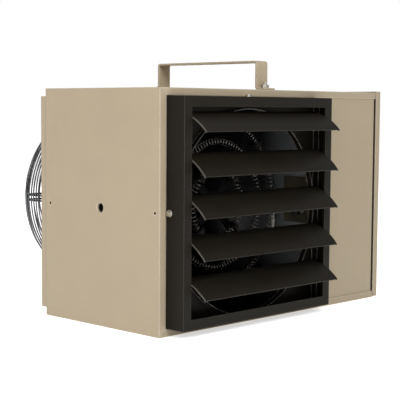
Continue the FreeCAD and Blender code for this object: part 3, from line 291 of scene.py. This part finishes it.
# Painted highlight: a wide light band along the left panel's front corner, on its front return
highlit_front_return = beige_enamel("beige_enamel_painted_highlight", BEIGE, edge_highlight_amount=0.85, edge_radius=0.0034)
face_finish("left_side_panel", highlit_front_return, faces_front)
# Painted light and shade on the top rail's front: lighter left of the partition, where the louver frame
# stands, darker beyond
painted_light_rail_enamel = beige_enamel("beige_enamel_painted_light_rail", SHADED_BEIGE, edge_highlight_amount=0.85, edge_radius=0.0024,
                           fade=("X", PARTITION_X - RAIL_FADE, PARTITION_X, SUNNY_BEIGE))
face_finish("top_panel", painted_light_rail_enamel, faces_front)
# Painted shade: the front faces take a darker copy of the beige enamel
painted_shade_front_enamel = beige_enamel("beige_enamel_painted_shade_front", SHADED_BEIGE, edge_highlight_amount=0.8, edge_radius=0.0020)
for node_name in ("front_panel", "bottom_panel", "control_door"):
    face_finish(node_name, painted_shade_front_enamel, faces_front)
# The outlet pan's edges carry a paler painted highlight
pan_enamel = brown_enamel("pan_enamel", BROWN, EDGE_HIGHLIGHT_PALE, edge_highlight_amount=0.9, edge_radius=0.0016)
NODES["outlet_pan"].data.materials[0] = pan_enamel
blade_enamel = brown_enamel("blade_enamel", BLADE_BROWN, EDGE_HIGHLIGHT_BROWN, edge_highlight_amount=0.4, edge_radius=0.0010)
# Painted highlight: lighter end faces on the louver blades
lit_blade_end = finish("blade_end_painted_highlight", srgb(76, 72, 66), rough=0.5, specular=0.2, mottle=0.2,
                     mottle_scale=60.0)
for blade in BLADES:
    NODES[blade].data.materials[0] = blade_enamel
    face_finish(blade, lit_blade_end, faces_end)
# Painted light and shade on the partition's chamber side: light zinc towards the outlet, near black towards
# the fan
lit_and_shaded_zinc = finish("lit_and_shaded_zinc", srgb(26, 27, 28), rough=0.4, metallic=0.3, mottle=0.25, mottle_scale=40.0,
                     fade=("Y", LIT_ZINC_Y, SHADED_ZINC_Y, srgb(140, 143, 144)))
face_finish("partition", lit_and_shaded_zinc, faces_left)
# Bare sheet, with painted shade left of the partition
inner_sheet = finish("inner_sheet", srgb(176, 177, 175), rough=0.5, specular=0.1, mottle=0.15,
                     mottle_scale=50.0, fade=("X", PARTITION_X - SHADE_LINE, PARTITION_X, SHADE_BLACK))
face_finish("partition", inner_sheet, faces_right)

# Inner faces of the panels: bare sheet, with painted shade, near black, in the heater chamber
FLAT = 0.99999            # a face is flat sheet where its normal keeps to an axis
SIDE_HOLE_HALF = 0.0085
SIDE_HOLE_DEPTH = 0.0044
SIDE_HOLE = (Vector((LEFT, -SIDE_HOLE_HALF, AXIS_Z - SIDE_HOLE_HALF)),
             Vector((LEFT + SIDE_HOLE_DEPTH, SIDE_HOLE_HALF, AXIS_Z + SIDE_HOLE_HALF)))
INNER_PANELS = ("left_side_panel", "top_panel", "bottom_panel", "front_panel", "rear_panel")
INNER_BOXES = (
    (Vector((LEFT + SHEET / 2, FRONT + 1.5 * SHEET, SHEET / 2)),
     Vector((RIGHT - SHEET / 2, BACK, TOP - SHEET / 2))),
    (Vector((LEFT + 1.5 * SHEET, BACK, RAIL + SHEET / 2)),
     Vector((RIGHT - SHEET / 2, REAR_FACE - SHEET / 2, TOP - RAIL - SHEET / 2))),
)


def in_box(place, box):
    return all(low < value < high for low, value, high in zip(box[0], place, box[1]))


def looks_inward(polygon):
    towards_middle = (MIDDLE - polygon.center).dot(polygon.normal) > 0
    inside = any(in_box(polygon.center, box) for box in INNER_BOXES)
    return towards_middle and inside and not in_box(polygon.center, SIDE_HOLE)


for panel in INNER_PANELS:
    face_finish(panel, inner_sheet, looks_inward)
    for polygon in NODES[panel].data.polygons:
        if max(abs(part) for part in polygon.normal) > FLAT:
            polygon.use_smooth = False

# Close-wound heating wire in place of the coarse curls
COIL_Y = sum(corner.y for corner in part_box("heating_coil_outer")) / 2
COIL_R = 0.00555
WIRE_R = 0.0007
WIRE_SMOOTHNESS = 2
TURN_PITCH = 0.0063
STEPS_PER_TURN = 12
TERMINAL_HALF = 0.011
TAIL = 0.004
WAVERS = ((0.0003, 0.61, 0.0), (0.0002, 0.173, 40.0))    # size, angle per turn, angle per metre of ring


def coil_path(ring_r):
    """A straight tail, the turns around the ring, which waver a little, and the other tail."""
    side = AXIS_X + ring_r
    first = (TERMINAL_HALF + 2 * TAIL) / ring_r
    sweep = 2 * math.pi - 2 * first
    turns = round(ring_r * sweep / TURN_PITCH)
    points = [(side, COIL_Y, AXIS_Z + TERMINAL_HALF), (side, COIL_Y, AXIS_Z + TERMINAL_HALF + TAIL)]
    for step in range(turns * STEPS_PER_TURN + 1):
        turn = step / STEPS_PER_TURN
        waver = sum(size * math.sin(turn * rate + ring_r * shift) for size, rate, shift in WAVERS)
        around = first + sweep * turn / turns
        wind = 2 * math.pi * turn - math.pi / 2
        radius = ring_r + COIL_R * math.cos(wind)
        points.append((AXIS_X + radius * math.cos(around), COIL_Y + COIL_R * math.sin(wind) + waver,
                       AXIS_Z + radius * math.sin(around) + waver))
    points += [(side, COIL_Y, AXIS_Z - TERMINAL_HALF - TAIL), (side, COIL_Y, AXIS_Z - TERMINAL_HALF)]
    return points


def wound_ring(name, node):
    points = coil_path(AXIS_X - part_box(node)[0].x - COIL_R - WIRE_R)
    curve = bpy.data.curves.new(name, "CURVE")
    curve.dimensions = "3D"
    curve.bevel_depth = WIRE_R
    curve.bevel_resolution = WIRE_SMOOTHNESS
    curve.use_fill_caps = True
    spline = curve.splines.new("POLY")
    spline.points.add(len(points) - 1)
    for point, place in zip(spline.points, points):
        point.co = (*place, 1.0)
    ring = bpy.data.objects.new(name, curve)
    bpy.context.scene.collection.objects.link(ring)
    curve.materials.append(FINISHES["coil_wire"])
    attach(ring, "cabinet")
    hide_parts(node)


for ring_name in ("inner", "middle", "outer"):
    wound_ring("coil_" + ring_name, "heating_coil_" + ring_name)

# Ceramic post on the partition, beside the limit plate; its profile is radius and height
POST_FOOT = Vector((PARTITION_X - 0.0030, -0.0425, 0.1275))
POST_PROFILE = ((0.0, 0.0), (0.0018, 0.0003), (0.0026, 0.0014), (0.0026, 0.0100), (0.0032, 0.0108),
                (0.0032, 0.0135), (0.0026, 0.0143), (0.0026, 0.0340), (0.0018, 0.0353), (0.0, 0.0356))
POST_SIDES = 24
SAME_POINT = 1e-6


def turned_post(name, foot, profile):
    mesh = bpy.data.meshes.new(name)
    shape = bmesh.new()
    rail = [shape.verts.new(foot + Vector((radius, 0, height))) for radius, height in profile]
    edges = [shape.edges.new(pair) for pair in zip(rail, rail[1:])]
    bmesh.ops.spin(shape, geom=rail + edges, cent=foot, axis=(0, 0, 1), angle=2 * math.pi, steps=POST_SIDES)
    bmesh.ops.remove_doubles(shape, verts=shape.verts, dist=SAME_POINT)
    bmesh.ops.recalc_face_normals(shape, faces=shape.faces)
    shape.to_mesh(mesh)
    shape.free()
    for polygon in mesh.polygons:
        polygon.use_smooth = True
    post = bpy.data.objects.new(name, mesh)
    bpy.context.scene.collection.objects.link(post)
    mesh.materials.append(FINISHES["ceramic"])
    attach(post, "cabinet")


turned_post("ceramic_post", POST_FOOT, POST_PROFILE)

# Stage: a glowing white table, soft lights and the camera
FLOOR_HALF = 6.0
FLOOR_DROP = 0.0005
FLOOR_GLOW = 0.58
PAPER = (0.92, 0.92, 0.92)
SKY_LIGHT, SKY_SHOWN = 0.46, 1.0
LIGHT_TARGET = Vector((0, 0, 0.2))
LIGHTS = (                # name, place, width in metres, watts
    ("left_key", Vector((-2.5, -0.7, 1.5)), 1.2, 22.0),
    ("front_key", Vector((-1.0, -2.3, 1.9)), 1.2, 50.0),
    ("back_fill", Vector((1.6, 2.2, 1.4)), 1.6, 24.0),
    ("top", Vector((0.2, 0.2, 2.6)), 1.8, 10.0),
)
CAMERA_PLACE = Vector((-1.3459, -1.2649, 0.3256))
CAMERA_YAW, CAMERA_PITCH, CAMERA_ROLL = math.radians(45.84), math.radians(-4.64), math.radians(0.40)
FOCAL_PIXELS, FRAME_PIXELS = 1120.2, 400.0
SENSOR_MM = 36.0
CLIP_START = 0.05


def make_floor():
    corners = [(-FLOOR_HALF, -FLOOR_HALF, 0), (FLOOR_HALF, -FLOOR_HALF, 0),
               (FLOOR_HALF, FLOOR_HALF, 0), (-FLOOR_HALF, FLOOR_HALF, 0)]
    mesh = bpy.data.meshes.new("floor")
    mesh.from_pydata(corners, [], [(0, 1, 2, 3)])
    floor = bpy.data.objects.new("floor", mesh)
    floor.location.z = -FLOOR_DROP
    bpy.context.scene.collection.objects.link(floor)
    paper = finish("light_table", PAPER, rough=0.8, specular=0.1, mottle=0.01, grain=0.0)
    shader = paper.node_tree.nodes["Principled BSDF"]
    shader.inputs["Emission Color"].default_value = grey(1.0)
    shader.inputs["Emission Strength"].default_value = FLOOR_GLOW
    mesh.materials.append(paper)


def make_world():
    """A room that lights the part dimly, and whose wall the camera sees as white."""
    world = bpy.data.worlds.new("studio")
    world.use_nodes = True
    tree = world.node_tree
    room = tree.nodes["Background"]
    room.inputs["Color"].default_value = grey(1.0)
    room.inputs["Strength"].default_value = SKY_LIGHT
    wall = add(tree, "ShaderNodeBackground", color=grey(1.0), strength=SKY_SHOWN)
    path = tree.nodes.new("ShaderNodeLightPath")
    mix = tree.nodes.new("ShaderNodeMixShader")
    tree.links.new(path.outputs["Is Camera Ray"], mix.inputs["Fac"])
    tree.links.new(room.outputs["Background"], mix.inputs[1])
    tree.links.new(wall.outputs["Background"], mix.inputs[2])
    tree.links.new(mix.outputs["Shader"], tree.nodes["World Output"].inputs["Surface"])
    bpy.context.scene.world = world


def area_light(name, place, width, power):
    light = bpy.data.lights.new(name, "AREA")
    light.shape = "DISK"
    light.size = width
    light.energy = power
    lamp = bpy.data.objects.new(name, light)
    lamp.location = place
    lamp.rotation_euler = (LIGHT_TARGET - place).to_track_quat("-Z", "Y").to_euler()
    bpy.context.scene.collection.objects.link(lamp)


def make_camera():
    forward = Vector((math.sin(CAMERA_YAW) * math.cos(CAMERA_PITCH),
                      math.cos(CAMERA_YAW) * math.cos(CAMERA_PITCH), math.sin(CAMERA_PITCH)))
    level = forward.cross(Vector((0, 0, 1))).normalized()
    upright = level.cross(forward)
    right = level * math.cos(CAMERA_ROLL) + upright * math.sin(CAMERA_ROLL)
    up = right.cross(forward)
    data = bpy.data.cameras.new("camera")
    data.sensor_width = SENSOR_MM
    data.lens = FOCAL_PIXELS / FRAME_PIXELS * SENSOR_MM
    data.clip_start = CLIP_START
    camera = bpy.data.objects.new("camera", data)
    turn = Matrix((right, up, -forward)).transposed().to_4x4()
    camera.matrix_world = Matrix.Translation(CAMERA_PLACE) @ turn
    bpy.context.scene.collection.objects.link(camera)
    bpy.context.scene.camera = camera


make_floor()
make_world()
for light in LIGHTS:
    area_light(*light)
bpy.context.scene.view_settings.view_transform = "Standard"
make_camera()
